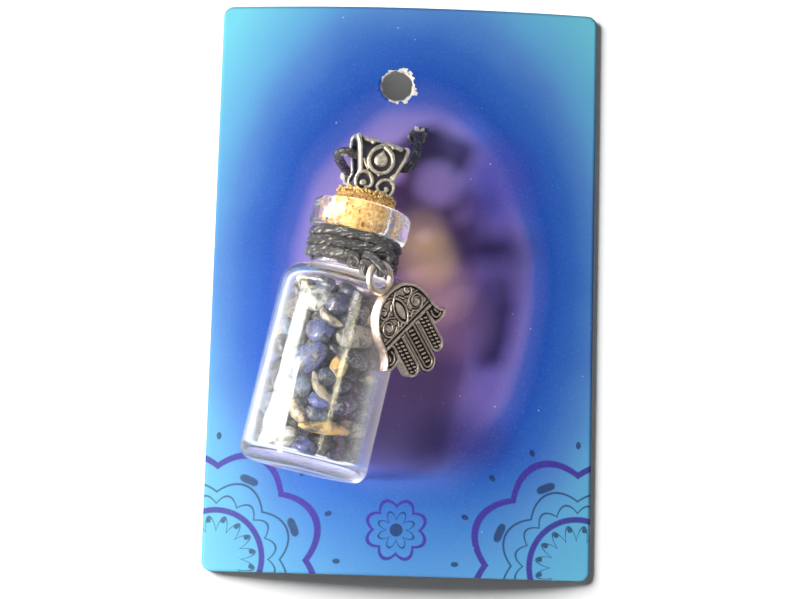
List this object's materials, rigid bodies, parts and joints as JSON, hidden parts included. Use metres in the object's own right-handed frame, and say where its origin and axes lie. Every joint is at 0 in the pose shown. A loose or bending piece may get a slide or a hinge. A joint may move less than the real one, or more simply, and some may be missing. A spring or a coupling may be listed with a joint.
{
  "type": "bottle pendant on a display card",
  "caption": "Small corked glass bottle of tumbled stone chips, worn as a pendant on a cast bail, with a hand-shaped charm tied to its neck, held by a cord on an arched display card",
  "frame": {"origin": "on the surface under the card's centre", "axes": "+X to the right across the card, +Y up the card towards its hang hole, +Z out of the card's printed face"},
  "size_m": [0.06, 0.09, 0.0253],
  "materials": {
    "card": "coated card printed in a cyan, blue and violet gradient, slightly glossy",
    "glass": "clear moulded glass",
    "cork": "light cork with a crumbled top",
    "glue": "clear amber glue with cork crumbs in it",
    "silver": "cast, silver coloured, blackened in its recesses and polished on its raised lines",
    "cord": "waxed cotton cord",
    "stone": "tumbled lapis chips, deep blue to grey, some cream and golden brown"
  },
  "bodies": {
    "root": {"card": "card", "bottle": "glass", "cork": "cork", "glue_bead": "glue", "bail": "silver", "neck_wrap": "cord", "charm_tie": "cord", "hamsa_charm": "silver", "stones": "stone", "hang_cord": "cord"}
  },
  "joints": []
}
